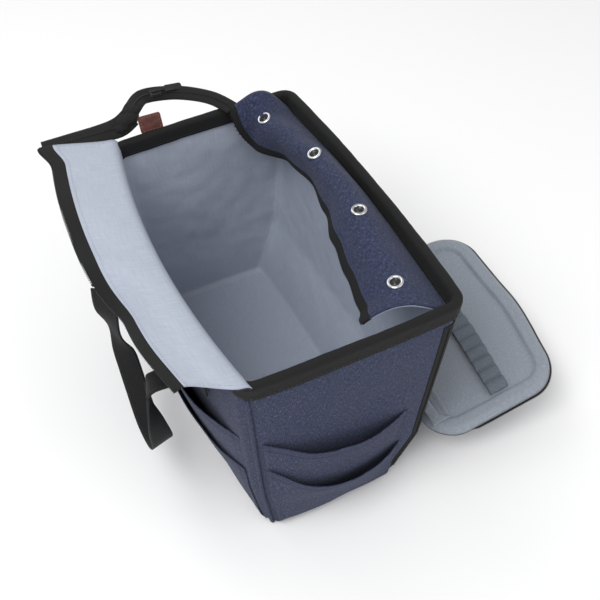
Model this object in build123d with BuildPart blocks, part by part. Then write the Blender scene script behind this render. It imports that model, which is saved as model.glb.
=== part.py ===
from build123d import *
import math
import os

# Knitting bag, in millimetres. The origin is on the underside of the base, below the middle of the rim.
# +X runs along the bag to its far end, -Y is the front with the hook case, +Z is up.

# Body: height, half length, front face, back face, bows (front, back, ends), corner radius.
sections = [
    (0, 187, -47, 102, 6, 10, 0.5, 18),
    (80, 193, -84, 110, 8, 16, 4, 20),
    (262, 198.4, -113.4, 113.4, 8, 20, 2, 22),
    (271, 198.7, -114.9, 113.6, 8, 20, 2, 22),
]
wall_top = 264
rim_top = 270
fabric = 1.2
foam_inner = 4.6
lining_outer = 4.8
wall_thickness = 6
gap = 0.2
board_thickness = 3
board_inset = 1
end_seam = 172
foam_top_gap = 4
foam_corner_gap = 4

# Rim binding
binding_height = 25
binding_thickness = 1.4
stiffener_height = 3.4
stiffener_insets = (1.5, 4.5)

# Pockets on the two ends and the back
hem_upper = 156
hem_lower = 106
pocket_foot = 3
end_pocket_margin = 18
back_pocket_side = 164
upper_bulge = 15
lower_bulge = 25
back_upper_bulge = 18
back_lower_bulge = 22
layer_step = fabric + 0.3
end_pocket_gap = 1.8
back_pocket_gap = 0.8

# Flaps along the mouth
flap_half_length = 184
back_flap_width = 44
front_flap_width = 62
zip_tape_width = 12
flap_root = 2.5
back_pivot = (0, 136, 273)
front_pivot = (0, -103, 273)
back_droop = 8
front_droop = 22
tape_thickness = 0.8
coil_radius = 1.2
grommet_pitch = 104
grommet_reach = 28
grommet_hole = 5
grommet_flange = 8.5

# Hook case, open beside the bag
case_pivot = (-75, -95, 50)
case_rise = 8
case_length = 262
case_depth = 185
case_corner = 28
case_hinge_gap = 4
case_lining = 1.2
case_padding = 4.8
case_edge = 1.8
case_lip = 5
case_tape_width = 6
case_layer_gap = 0.1
case_layer_inset = 2
case_padding_inset = 3
loop_count = 13
loop_margin = 20
loop_band = 0.9
loop_foot = 1.5
loop_height = 3
elastic_reach = (94, 120)
slip_pocket_reach = 26
slip_pocket_gap = 1
slip_pocket_lift = 0.3
slip_pocket_cloth = 1

# Webbing handles
webbing_width = 25
webbing_thickness = 1.8
handle_bend = 52
back_handle_pivot = (-40, 183, 232)
front_handle_pivot = (0, -125.5, 243.7)
front_handle_lean = 10
back_handle_drop = 160
front_handle_drop = 130
back_handle_span = 150
front_handle_span = 170
root_patch_height = 42
neck_length = 20
neck_width = 3
neck_top = 1.6

os.makedirs("parts", exist_ok=True)


def save(part, name):
    part.label = name
    export_step(part, f"parts/{name}.step")


def section_at(height):
    for low, high in zip(sections, sections[1:]):
        if height <= high[0]:
            share = (height - low[0]) / (high[0] - low[0])
            return [a + share * (b - a) for a, b in zip(low, high)]


def outline(height, inset):
    # the bag's bowed, rounded outline at one height, moved in by the inset
    _, half, front, back, front_bow, back_bow, end_bow, corner = section_at(height)
    half = half - inset
    front = front + inset
    back = back - inset
    middle = (front + back) / 2
    with BuildSketch(Plane.XY.offset(height)) as face:
        with BuildLine():
            ThreePointArc((-half, front), (0, front - front_bow), (half, front))
            ThreePointArc((half, front), (half + end_bow, middle), (half, back))
            ThreePointArc((half, back), (0, back + back_bow), (-half, back))
            ThreePointArc((-half, back), (-half - end_bow, middle), (-half, front))
        make_face()
        fillet(face.vertices(), corner - inset)
    return face.sketch


def levels(low, high):
    inner = [row[0] for row in sections if low < row[0] < high]
    return [low] + inner + [high]


def block(inset, low, high):
    with BuildPart() as solid:
        loft(sections=[outline(level, inset) for level in levels(low, high)], ruled=True)
    return solid.part


def skin(outer, inner, low, high):
    # a tube of wall between two insets
    with BuildPart() as tube:
        add(block(outer, low, high))
        add(block(inner, low, high), mode=Mode.SUBTRACT)
    return tube.part


def cut_to(solid, x_range, y_range, z_range):
    # the part of a solid that lies inside a box
    with BuildPart() as piece:
        add(solid)
        with BuildSketch(Plane.XY.offset(z_range[0])):
            with Locations((sum(x_range) / 2, sum(y_range) / 2)):
                Rectangle(x_range[1] - x_range[0], y_range[1] - y_range[0])
        extrude(amount=z_range[1] - z_range[0], mode=Mode.INTERSECT)
    return piece.part


# ---- body: outer fabric, foam, board and lining ----
reach = 400
body_zone = (-10, 300)
outer_fabric = skin(0, fabric, 0, wall_top)
save(cut_to(outer_fabric, (-reach, -end_seam), (-reach, reach), body_zone), "near_end_panel")
save(cut_to(outer_fabric, (end_seam, reach), (-reach, reach), body_zone), "far_end_panel")
save(cut_to(outer_fabric, (-end_seam, end_seam), (0, reach), body_zone), "back_panel")
save(cut_to(outer_fabric, (-end_seam, end_seam), (-reach, 0), body_zone), "front_panel")

with BuildPart() as bottom_panel:
    add(outline(0, fabric))
    extrude(amount=fabric)
save(bottom_panel.part, "bottom_panel")

with BuildPart() as base_board:
    add(outline(fabric + gap, fabric + 2 * gap + board_inset))
    extrude(amount=board_thickness)
save(base_board.part, "base_board")

foam_low = fabric + board_thickness + 3 * gap
foam_wall = skin(fabric + gap, foam_inner, foam_low, wall_top - foam_top_gap)
foam_corner = 168
foam_side = (-60, 84)
foam_run = foam_corner - foam_corner_gap
save(cut_to(foam_wall, (-reach, -foam_corner), foam_side, body_zone), "near_end_foam")
save(cut_to(foam_wall, (foam_corner, reach), foam_side, body_zone), "far_end_foam")
save(cut_to(foam_wall, (-foam_run, foam_run), (0, reach), body_zone), "back_foam")
save(cut_to(foam_wall, (-foam_run, foam_run), (-reach, 0), body_zone), "front_foam")

with BuildPart() as lining:
    add(block(lining_outer, foam_low, wall_top))
    add(block(wall_thickness, foam_low + fabric, wall_top), mode=Mode.SUBTRACT)
save(lining.part, "lining")

# ---- rim: stiffening strip inside a folded binding ----
with BuildPart() as rim_stiffener:
    add(skin(*stiffener_insets, wall_top + gap, wall_top + gap + stiffener_height))
save(rim_stiffener.part, "rim_stiffener")

binding_low = rim_top - binding_height
with BuildPart() as rim_binding:
    add(block(-gap - binding_thickness, binding_low, rim_top))
    add(block(-gap, binding_low, rim_top - binding_thickness), mode=Mode.SUBTRACT)
    add(skin(wall_thickness + gap, wall_thickness + gap + binding_thickness, binding_low, rim_top))
    add(skin(-gap, wall_thickness + gap, rim_top - binding_thickness, rim_top))
    add(block(wall_thickness + gap + binding_thickness, binding_low, rim_top), mode=Mode.SUBTRACT)
save(rim_binding.part, "rim_binding")


# ---- piping down the four corner seams ----
def corner_point(height, x_side, y_side, outward):
    _, half, front, back, _, _, _, corner = section_at(height)
    depth = corner - (corner + outward) * math.sqrt(0.5)
    y_edge = back - depth if y_side > 0 else front + depth
    return (x_side * (half - depth), y_edge, height)


piping_radius = 1.8
piping_off = 3.2
with BuildPart() as corner_piping:
    for x_side in (-1, 1):
        spots = [corner_point(level, x_side, 1, piping_radius + piping_off) for level in levels(2, 242)]
        rings = []
        for spot in spots:
            with BuildSketch(Plane.XY.offset(spot[2])) as ring:
                with Locations((spot[0], spot[1])):
                    Circle(piping_radius)
            rings.append(ring.sketch)
        loft(sections=rings, ruled=True)
save(corner_piping.part, "corner_piping")


# ---- patch pockets: thin bowed panels that stand away from the wall at their hems ----
def end_strip(height, off, bulge):
    _, half, front, back, _, _, end_bow, _ = section_at(height)
    x_side = -half - off
    x_middle = x_side - end_bow - bulge
    low = front + end_pocket_margin
    high = back - end_pocket_margin
    middle = (low + high) / 2
    with BuildSketch(Plane.XY.offset(height)) as strip:
        with BuildLine():
            ThreePointArc((x_side, low), (x_middle, middle), (x_side, high))
            Line((x_side, high), (x_side - fabric, high))
            ThreePointArc((x_side - fabric, high), (x_middle - fabric, middle), (x_side - fabric, low))
            Line((x_side - fabric, low), (x_side, low))
        make_face()
    return strip.sketch


def back_strip(height, off, bulge):
    _, _, _, back, _, back_bow, _, _ = section_at(height)
    y_side = back + off + back_bow * (1 - (back_pocket_side / sections[1][1]) ** 2)
    y_middle = back + off + back_bow + bulge
    side = back_pocket_side
    with BuildSketch(Plane.XY.offset(height)) as strip:
        with BuildLine():
            ThreePointArc((-side, y_side), (0, y_middle), (side, y_side))
            Line((side, y_side), (side, y_side + fabric))
            ThreePointArc((side, y_side + fabric), (0, y_middle + fabric), (-side, y_side + fabric))
            Line((-side, y_side + fabric), (-side, y_side))
        make_face()
    return strip.sketch


def pocket(strip, off, hem, bulge):
    with BuildPart() as panel:
        bulges = [bulge * (level - pocket_foot) / (hem - pocket_foot) for level in levels(pocket_foot, hem)]
        faces = [strip(level, off, swell) for level, swell in zip(levels(pocket_foot, hem), bulges)]
        loft(sections=faces, ruled=True)
    return panel.part


for end_name, off, hem, bulge in (
    ("upper", end_pocket_gap, hem_upper, upper_bulge),
    ("lower", end_pocket_gap + layer_step, hem_lower, lower_bulge),
):
    near_pocket = pocket(end_strip, off, hem, bulge)
    save(near_pocket, f"near_{end_name}_pocket")
    with BuildPart() as far_pocket:
        mirror(near_pocket, about=Plane.YZ)
    save(far_pocket.part, f"far_{end_name}_pocket")
save(pocket(back_strip, back_pocket_gap, hem_upper, back_upper_bulge), "back_upper_pocket")
save(pocket(back_strip, back_pocket_gap + layer_step, hem_lower, back_lower_bulge), "back_lower_pocket")


# ---- flaps: each points along +Y at rest, the back one outwards, the front one into the mouth ----
def leaf_plane(pivot, droop):
    lean = math.radians(droop)
    return Plane(origin=pivot, x_dir=(1, 0, 0), z_dir=(0, math.sin(lean), math.cos(lean)))


def leaf(plane, x_half, near, far, low, thickness):
    # a flat rectangle on a leaf plane, from near to far along the leaf
    with BuildPart() as sheet:
        with BuildSketch(plane.offset(low)):
            with Locations((0, (near + far) / 2)):
                Rectangle(2 * x_half, far - near)
        extrude(amount=thickness)
    return sheet.part


def coil(plane, reach_out):
    spot = plane.from_local_coords((-flap_half_length, reach_out, 0))
    with BuildPart() as row:
        with BuildSketch(Plane(origin=spot, z_dir=(1, 0, 0))):
            Circle(coil_radius)
        extrude(amount=2 * flap_half_length)
    return row.part


back_leaf = leaf_plane(back_pivot, back_droop)
front_leaf = leaf_plane(front_pivot, front_droop)
half = flap_half_length
save(leaf(back_leaf, half, flap_root, back_flap_width, -fabric, fabric), "back_flap_cover")
save(leaf(back_leaf, half, flap_root, back_flap_width, 0, fabric), "back_flap_lining")
for leaf_name, plane, width in (("back", back_leaf, back_flap_width), ("front", front_leaf, front_flap_width)):
    edge = width + zip_tape_width
    save(leaf(plane, half, width, edge, -tape_thickness / 2, tape_thickness), f"{leaf_name}_zip_tape")
    save(coil(plane, edge + coil_radius), f"{leaf_name}_zip_coil")

grommet_spots = [(grommet_pitch * (step - 1.5), grommet_reach) for step in range(4)]
eyelet_wall = 1
for flap_name, low in (("front_flap_cover", 0), ("front_flap_lining", -fabric)):
    with BuildPart() as flap:
        add(leaf(front_leaf, half, flap_root, front_flap_width, low, fabric))
        with BuildSketch(front_leaf.offset(low)):
            with Locations(*grommet_spots):
                Circle(grommet_hole + eyelet_wall)
        extrude(amount=fabric, mode=Mode.SUBTRACT)
    save(flap.part, flap_name)

with BuildPart() as grommets:
    with BuildSketch(front_leaf.offset(fabric)):
        with Locations(*grommet_spots):
            Circle(grommet_flange)
    extrude(amount=eyelet_wall)
    with BuildSketch(front_leaf.offset(-fabric)):
        with Locations(*grommet_spots):
            Circle(grommet_hole + eyelet_wall)
    extrude(amount=2 * fabric)
    with BuildSketch(front_leaf.offset(-fabric)):
        with Locations(*grommet_spots):
            Circle(grommet_hole)
    extrude(amount=3 * fabric, mode=Mode.SUBTRACT)
save(grommets.part, "grommets")

with BuildPart() as grommet_washers:
    with BuildSketch(front_leaf.offset(-fabric)):
        with Locations(*grommet_spots):
            Circle(grommet_flange)
            Circle(grommet_hole, mode=Mode.SUBTRACT)
    extrude(amount=-eyelet_wall)
save(grommet_washers.part, "grommet_washers")

# ---- closed end of the mouth zip: a flat loop of tape past the far end, with slider and leather tab ----
tail_root = 190
tail_out = 262
tail_side = (-34, 80)
tail_height = 271
tail_corner = 26
with BuildPart() as zip_tail:
    with BuildSketch(Plane.XY.offset(tail_height)) as band:
        with BuildLine() as centre:
            FilletPolyline((tail_root, tail_side[0]), (tail_out, tail_side[0]), (tail_out, tail_side[1]),
                           (tail_root, tail_side[1]), radius=tail_corner)
        trace(centre.edges(), line_width=zip_tape_width)
    extrude(amount=tape_thickness)
save(zip_tail.part, "zip_tail")

slider_middle = (tail_out, 34)
slider_plane = Plane.XY.offset(tail_height + tape_thickness + gap)
slider_size = (10, 15)
slider_height = 3.4
plate_corner = 3
with BuildPart() as zip_slider:
    with BuildSketch(slider_plane):
        with Locations(slider_middle):
            RectangleRounded(*slider_size, plate_corner)
    extrude(amount=slider_height)
save(zip_slider.part, "zip_slider")

puller_size = (12, 30)
puller_thickness = 1.6
puller_rise = 1.6
puller_offset = 14
puller_pin = (tail_out, 30, tail_height + tape_thickness + gap + slider_height + puller_rise)
with BuildPart() as zip_puller:
    with BuildSketch(Plane.XY.offset(puller_pin[2] - puller_thickness / 2)):
        with Locations((puller_pin[0], puller_pin[1] - puller_offset)):
            RectangleRounded(*puller_size, plate_corner)
    extrude(amount=puller_thickness)
save(zip_puller.part, "zip_puller")

end_tab_size = (14, 26)
end_tab_offset = 4.5
leather = 2.4
with BuildPart() as zip_end_tab:
    with BuildSketch(slider_plane):
        with Locations((tail_root + end_tab_offset, tail_side[1])):
            RectangleRounded(*end_tab_size, plate_corner)
    extrude(amount=leather)
save(zip_end_tab.part, "zip_end_tab")

# ---- hook case ----
case_lean = math.radians(case_rise)
case_plane = Plane(origin=case_pivot, x_dir=(1, 0, 0), z_dir=(0, math.sin(case_lean), math.cos(case_lean)))
case_middle = -(case_hinge_gap + case_depth / 2)


def case_board(grow, low, high):
    # the case's rounded outline, grown or shrunk, between two heights over its lining face
    with BuildPart() as board:
        with BuildSketch(case_plane.offset(low)):
            with Locations((0, case_middle)):
                RectangleRounded(case_length + 2 * grow, case_depth + 2 * grow, case_corner + grow)
        extrude(amount=high - low)
    return board.part


padding_top = -case_lining - case_layer_gap
padding_low = padding_top - case_padding
outer_top = padding_low - case_layer_gap
outer_low = outer_top - fabric
lip_top = 1.6
lip_low = outer_low - binding_thickness
save(case_board(-case_layer_inset, -case_lining, 0), "case_lining")
save(case_board(-case_padding_inset, padding_low, padding_top), "case_padding")
save(case_board(-case_layer_inset, outer_low, outer_top), "case_outer")

with BuildPart() as case_binding:
    add(case_board(0, lip_low, lip_top))
    add(case_board(-case_edge, outer_low - gap, gap), mode=Mode.SUBTRACT)
    add(case_board(-case_lip, lip_low, lip_top), mode=Mode.SUBTRACT)
save(case_binding.part, "case_binding")

tape_mid = (lip_top + lip_low) / 2
tape_cut = 2
tape_seam_gap = 0.05
with BuildPart() as case_zip_tape:
    add(case_board(case_tape_width, tape_mid - tape_thickness / 2, tape_mid + tape_thickness / 2))
    add(case_board(tape_seam_gap, tape_mid - tape_cut, tape_mid + tape_cut), mode=Mode.SUBTRACT)
    with BuildSketch(case_plane.offset(tape_mid - tape_cut)):
        with Locations((0, 0)):
            Rectangle(2 * case_length, 2 * case_corner)
    extrude(amount=2 * tape_cut, mode=Mode.SUBTRACT)
save(case_zip_tape.part, "case_zip_tape")

loop_pitch = (case_length - 2 * loop_margin) / loop_count
strip_end = Plane(origin=case_plane.from_local_coords((0, -elastic_reach[1], case_layer_gap)), x_dir=(1, 0, 0),
                  z_dir=case_plane.y_dir.reverse())
with BuildPart() as case_elastic:
    with BuildSketch(strip_end):
        for turn in range(loop_count):
            start = loop_pitch * (turn - loop_count / 2)
            middle = start + loop_pitch / 2
            end = start + loop_pitch
            with BuildLine():
                ThreePointArc((start, loop_band), (middle, loop_height + loop_band), (end, loop_band))
                Line((end, loop_band), (end, 0))
                Line((end, 0), (end - loop_foot, 0))
                ThreePointArc((end - loop_foot, 0), (middle, loop_height), (start + loop_foot, 0))
                Line((start + loop_foot, 0), (start, 0))
                Line((start, 0), (start, loop_band))
            make_face()
    extrude(amount=elastic_reach[0] - elastic_reach[1])
save(case_elastic.part, "case_elastic")

with BuildPart() as case_slip_pocket:
    with BuildSketch(case_plane.offset(slip_pocket_lift)):
        with Locations((0, -case_hinge_gap - case_lip - slip_pocket_gap - slip_pocket_reach / 2)):
            Rectangle(case_length - 2 * case_corner, slip_pocket_reach)
    extrude(amount=slip_pocket_cloth)
save(case_slip_pocket.part, "case_slip_pocket")

# cloth hinge between the case and the lower front wall, and the zip half that stays on the wall
hinge_half = case_length / 2 - case_corner
web_top = 47
web_wall = -72
web_lap = case_pivot[1] + 2
with BuildPart() as case_hinge_web:
    with BuildSketch(Plane.YZ.offset(case_pivot[0] - hinge_half)):
        Polygon((web_wall, web_top), (web_wall, web_top - fabric), (web_lap, web_top - fabric),
                (web_lap, web_top), align=None)
    extrude(amount=2 * hinge_half)
    add(block(-gap, 0, 100), mode=Mode.SUBTRACT)
save(case_hinge_web.part, "case_hinge_web")

wall_tape_gap = 0.2
wall_tape_width = 12
wall_tape_top = 240
wall_tape_low = 56
wall_tape = skin(-wall_tape_gap - tape_thickness, -wall_tape_gap, wall_tape_low, wall_tape_top)
far_strip = case_pivot[0] + case_length / 2 + 2
near_strip = -180
front_side = (-reach, -20)
with BuildPart() as case_wall_zip:
    add(cut_to(wall_tape, (near_strip, far_strip + wall_tape_width), front_side,
               (wall_tape_top - wall_tape_width, wall_tape_top)))
    for start in (near_strip, far_strip):
        add(cut_to(wall_tape, (start, start + wall_tape_width), front_side,
                   (wall_tape_low, wall_tape_top - wall_tape_width)))
save(case_wall_zip.part, "case_wall_zip")

# slider of the case zip, parked low on the far strip, with its pull hanging below it
low_row = sections[1]
top_row = sections[2]
slider_x = far_strip + 8
slider_rise = 9
plate_round = 2
pull_lift = 0.4
wall_bow = low_row[4] * (1 - (slider_x / low_row[1]) ** 2)
wall_rise = Vector(0, top_row[2] - low_row[2], top_row[0] - low_row[0]).normalized()
slider_foot = Vector(slider_x, low_row[2] - wall_bow, low_row[0]) + wall_rise * slider_rise
slider_wall = Plane(origin=slider_foot, x_dir=(1, 0, 0), z_dir=(0, -wall_rise.Z, wall_rise.Y))
slider_off = wall_tape_gap + tape_thickness + gap
case_slider_size = (8, 12, 2)
case_pull_size = (5, 20, 1.2)
with BuildPart() as case_slider:
    with BuildSketch(slider_wall.offset(slider_off)):
        RectangleRounded(case_slider_size[0], case_slider_size[1], plate_round)
    extrude(amount=case_slider_size[2])
save(case_slider.part, "case_slider")

pull_gap = 1
with BuildPart() as case_puller:
    with BuildSketch(slider_wall.offset(slider_off + pull_lift)):
        with Locations((0, -(case_slider_size[1] + case_pull_size[1]) / 2 - pull_gap)):
            RectangleRounded(case_pull_size[0], case_pull_size[1], plate_round)
    extrude(amount=case_pull_size[2])
save(case_puller.part, "case_puller")


# ---- webbing handles: roots on the wall, and a strap that hangs from them ----
def handle_tabs(pivot, span, inward):
    # two tabs of webbing from the wall out to the fold where the strap starts
    with BuildPart() as tabs:
        tip = pivot[1] - inward * webbing_thickness / 2
        with BuildSketch(Plane.XY.offset(pivot[2] - webbing_thickness / 2)):
            for side in (-1, 1):
                with Locations((pivot[0] + side * span / 2, tip / 2)):
                    Rectangle(webbing_width, abs(tip))
        extrude(amount=webbing_thickness)
        add(block(-gap - fabric, 0, rim_top), mode=Mode.SUBTRACT)
    return tabs.part


back_tabs = handle_tabs(back_handle_pivot, back_handle_span, 1)
patch_low = back_handle_pivot[2] - root_patch_height
back_patches = skin(-gap - fabric - webbing_thickness, -gap - fabric, patch_low, back_handle_pivot[2])
with BuildPart() as back_handle_roots:
    add(back_tabs)
    for side in (-1, 1):
        middle = back_handle_pivot[0] + side * back_handle_span / 2
        add(cut_to(back_patches, (middle - webbing_width / 2, middle + webbing_width / 2), (0, reach),
                   (patch_low, back_handle_pivot[2])))
save(back_handle_roots.part, "back_handle_roots")
save(handle_tabs(front_handle_pivot, front_handle_span, -1), "front_handle_roots")


def strap_route(span, top, low):
    # the middle line of a hanging handle, seen flat
    return FilletPolyline((-span / 2, top), (-span / 2, low), (span / 2, low), (span / 2, top),
                          radius=handle_bend)


# back handle: the band faces down at its grip, as wide as the webbing along Y, with a neck at each end
back_face = Plane(origin=back_handle_pivot, x_dir=(1, 0, 0), z_dir=(0, -1, 0))
half_width = webbing_width / 2
with BuildPart() as back_handle:
    with BuildSketch(back_face.offset(-half_width)):
        with BuildLine() as route:
            strap_route(back_handle_span, -neck_length, -back_handle_drop)
        trace(route.edges(), line_width=webbing_thickness)
    extrude(amount=webbing_width)
    for side in (-1, 1):
        strand = back_handle_pivot[0] + side * back_handle_span / 2
        neck_face = Plane(origin=(strand - webbing_thickness / 2, *back_handle_pivot[1:]), x_dir=(0, 1, 0),
                          z_dir=(1, 0, 0))
        with BuildSketch(neck_face):
            Polygon((-half_width, -neck_length), (half_width, -neck_length), (neck_width / 2, -neck_top),
                    (-neck_width / 2, -neck_top), align=None)
        extrude(amount=webbing_thickness)
save(back_handle.part, "back_handle")

# front handle: the band lies flat along the overhanging wall
lean = math.radians(front_handle_lean)
front_face = Plane(origin=front_handle_pivot, x_dir=(1, 0, 0), z_dir=(0, -math.cos(lean), -math.sin(lean)))
with BuildPart() as front_handle:
    with BuildSketch(front_face.offset(-webbing_thickness / 2)):
        with BuildLine() as route:
            strap_route(front_handle_span, -neck_top, -front_handle_drop)
        trace(route.edges(), line_width=webbing_width)
    extrude(amount=webbing_thickness)
save(front_handle.part, "front_handle")
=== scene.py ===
import math
import bmesh
import bpy
from mathutils import Matrix, Vector, noise


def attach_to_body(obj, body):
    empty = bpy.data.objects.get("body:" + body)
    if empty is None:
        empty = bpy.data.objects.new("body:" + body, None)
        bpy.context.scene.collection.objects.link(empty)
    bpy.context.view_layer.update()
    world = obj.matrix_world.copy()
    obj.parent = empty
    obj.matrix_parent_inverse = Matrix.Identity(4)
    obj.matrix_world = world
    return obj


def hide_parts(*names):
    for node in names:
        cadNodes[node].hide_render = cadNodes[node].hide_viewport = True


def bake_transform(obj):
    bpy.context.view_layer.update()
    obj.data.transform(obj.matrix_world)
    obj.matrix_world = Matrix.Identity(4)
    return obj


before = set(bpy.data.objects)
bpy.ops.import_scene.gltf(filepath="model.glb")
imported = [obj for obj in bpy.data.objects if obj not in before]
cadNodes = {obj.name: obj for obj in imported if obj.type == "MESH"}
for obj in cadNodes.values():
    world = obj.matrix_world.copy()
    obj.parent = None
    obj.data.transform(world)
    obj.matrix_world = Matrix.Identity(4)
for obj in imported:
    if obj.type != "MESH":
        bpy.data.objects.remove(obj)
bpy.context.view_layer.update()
mm = 0.001  # every shape below is worked out in millimetres and written in metres


# small helpers
def mix(a, b, share):
    return a + (b - a) * share


def ease(low, high, x):
    t = min(1.0, max(0.0, (x - low) / (high - low)))
    return t * t * (3 - 2 * t)


def bell(x, width):
    return math.exp(-((x / width) ** 2))


def ripple(point, size, seed=0.0):
    return noise.noise(Vector((point[0] / size + seed, point[1] / size, point[2] / size)))


def curveAt(points, share):
    # a smooth line through a few chosen points
    spot = share * (len(points) - 1)
    index = min(int(spot), len(points) - 2)
    t = spot - index
    a = points[max(index - 1, 0)]
    b = points[index]
    c = points[index + 1]
    d = points[min(index + 2, len(points) - 1)]
    return 0.5 * (2 * b + (c - a) * t + (2 * a - 5 * b + 4 * c - d) * t * t + (3 * b - a - 3 * c + d) * t ** 3)


# materials: one helper adds a node with its settings and links
def linear(code):
    parts = [int(code[i:i + 2], 16) / 255 for i in (0, 2, 4)]
    return tuple(p / 12.92 if p <= 0.04045 else ((p + 0.055) / 1.055) ** 2.4 for p in parts) + (1.0,)


def addNode(tree, kind, inputs=None, **settings):
    node = tree.nodes.new(kind)
    for name, value in settings.items():
        setattr(node, name, value)
    for name, value in (inputs or {}).items():
        if isinstance(value, bpy.types.NodeSocket):
            tree.links.new(value, node.inputs[name])
        else:
            node.inputs[name].default_value = value
    return node


def newMaterial(name, **shader):
    material = bpy.data.materials.new(name)
    material.use_nodes = True
    tree = material.node_tree
    surface = tree.nodes["Principled BSDF"]
    for key, value in shader.items():
        surface.inputs[key.replace("_", " ")].default_value = value
    return material, tree, surface


def tintOf(tree, value, stops):
    ramp = addNode(tree, "ShaderNodeValToRGB", {"Fac": value})
    ramp.color_ramp.elements[0].position = stops[0][0]
    ramp.color_ramp.elements[0].color = linear(stops[0][1])
    ramp.color_ramp.elements[1].position = stops[-1][0]
    ramp.color_ramp.elements[1].color = linear(stops[-1][1])
    for place, code in stops[1:-1]:
        ramp.color_ramp.elements.new(place).color = linear(code)
    return ramp.outputs["Color"]


def wovenCloth(name, stops, thread, slub, bump, onMap=True, **shader):
    # two crossing sets of threads, each with uneven colour along its length
    material, tree, surface = newMaterial(name, **shader)
    if onMap:
        place = addNode(tree, "ShaderNodeUVMap", uv_map="flat").outputs["UV"]
    else:
        place = addNode(tree, "ShaderNodeTexCoord").outputs["Object"]
    streaks = []
    for long, short in ((slub, thread), (thread, slub)):
        scale = (1 / long, 1 / short, 1 / short)
        stretch = addNode(tree, "ShaderNodeMapping", {"Vector": place, "Scale": scale}).outputs[0]
        streak = addNode(tree, "ShaderNodeTexNoise", {"Vector": stretch, "Scale": 1.0, "Detail": 2.0})
        streaks.append(streak.outputs["Fac"])
    heather = addNode(tree, "ShaderNodeMath", {0: streaks[0], 1: streaks[1]}, operation="ADD")
    halved = addNode(tree, "ShaderNodeMath", {0: heather.outputs[0], 1: 0.5}, operation="MULTIPLY")
    tree.links.new(tintOf(tree, halved.outputs[0], stops), surface.inputs["Base Color"])
    bands = 2 * math.pi / (20 * thread)
    rows = [addNode(tree, "ShaderNodeTexWave", {"Vector": place, "Scale": bands}, bands_direction=way)
            for way in ("X", "Y")]
    weave = addNode(tree, "ShaderNodeMath", {0: rows[0].outputs["Fac"], 1: rows[1].outputs["Fac"]},
                    operation="MAXIMUM")
    uneven = addNode(tree, "ShaderNodeMath", {0: weave.outputs[0], 1: halved.outputs[0]}, operation="ADD")
    relief = addNode(tree, "ShaderNodeBump", {"Height": uneven.outputs[0], "Strength": bump,
                                              "Distance": 0.0004})
    tree.links.new(relief.outputs[0], surface.inputs["Normal"])
    return material


def smoothSurface(name, stops, grain, bump, depth, **shader):
    # a moulded, plated or tanned skin: faint mottling and a fine grain
    material, tree, surface = newMaterial(name, **shader)
    place = addNode(tree, "ShaderNodeTexCoord").outputs["Object"]
    mottle = addNode(tree, "ShaderNodeTexNoise", {"Vector": place, "Scale": 1 / (grain * 6), "Detail": 4.0})
    tree.links.new(tintOf(tree, mottle.outputs["Fac"], stops), surface.inputs["Base Color"])
    fine = addNode(tree, "ShaderNodeTexVoronoi", {"Vector": place, "Scale": 1 / grain})
    relief = addNode(tree, "ShaderNodeBump", {"Height": fine.outputs["Distance"], "Strength": bump,
                                              "Distance": depth})
    tree.links.new(relief.outputs[0], surface.inputs["Normal"])
    return material


# heathered polyester oxford: matt, light and dark threads, drawn coarser than their real 0.5 mm pitch to show
heather = [(0.36, "161b31"), (0.46, "222941"), (0.55, "303757"), (0.68, "5a6385")]
navyOxford = wovenCloth("navyOxford", heather, 0.0008, 0.0045, 0.55, Roughness=0.9,
                        Sheen_Weight=0.06, Sheen_Roughness=0.5)
# coated polyester taffeta: pale, smooth, a low soft shine
greyTaffeta = wovenCloth("greyTaffeta", [(0.3, "9aa1b0"), (0.5, "a5acba"), (0.7, "b1b7c4")],
                         0.0008, 0.02, 0.12, Roughness=0.5, Sheen_Weight=0.04)
# brushed polyester lining of the hook case: darker and matt
caseTricot = wovenCloth("caseTricot", [(0.3, "7f868f"), (0.5, "8d949e"), (0.7, "9da4ae")],
                        0.0009, 0.006, 0.3, Roughness=0.85, Sheen_Weight=0.08)
# woven polyester binding tape and webbing: black, ribbed across
blackTape = wovenCloth("blackTape", [(0.35, "040405"), (0.6, "09090b"), (0.75, "151518")],
                       0.0011, 0.004, 0.8, Roughness=0.85)
blackWebbing = wovenCloth("blackWebbing", [(0.35, "050506"), (0.6, "0c0c0e"), (0.75, "1b1b1f")],
                          0.0020, 0.006, 1.0, Roughness=0.75)
greyElastic = wovenCloth("greyElastic", [(0.35, "5f6770"), (0.6, "707882"), (0.75, "858d97")],
                         0.0014, 0.004, 0.9, Roughness=0.75)
# nylon coil, moulded: satin black
nylonCoil = smoothSurface("nylonCoil", [(0.3, "0c0c0e"), (0.7, "1b1b1f")], 0.0006, 0.1, 0.0001,
                          Roughness=0.35)
# sewing thread
thread = {}
for label, dark, light in (("navy", "1f2440", "30365a"), ("grey", "8f99aa", "a9b2c1"),
                           ("black", "1b1b1f", "36363c"), ("leather", "8d5a48", "b07a62")):
    thread[label] = smoothSurface(label + "Thread", [(0.3, dark), (0.7, light)], 0.0003, 0.3, 0.0001,
                                  Roughness=0.6)
# pigmented cowhide: brown, pebbled grain
brownLeather = smoothSurface("brownLeather", [(0.3, "40201a"), (0.55, "5a2c24"), (0.8, "734034")], 0.0011,
                             0.6, 0.0003, Roughness=0.55)
# nickel-plated brass, polished
nickelPlate = smoothSurface("nickelPlate", [(0.3, "c4c6c9"), (0.7, "dfe0e2")], 0.0009, 0.04, 0.0001,
                            Roughness=0.2, Metallic=1.0)
# painted zinc slider
blackEnamel = smoothSurface("blackEnamel", [(0.3, "0f0f11"), (0.7, "202024")], 0.0008, 0.05, 0.0001,
                            Roughness=0.3)
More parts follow.
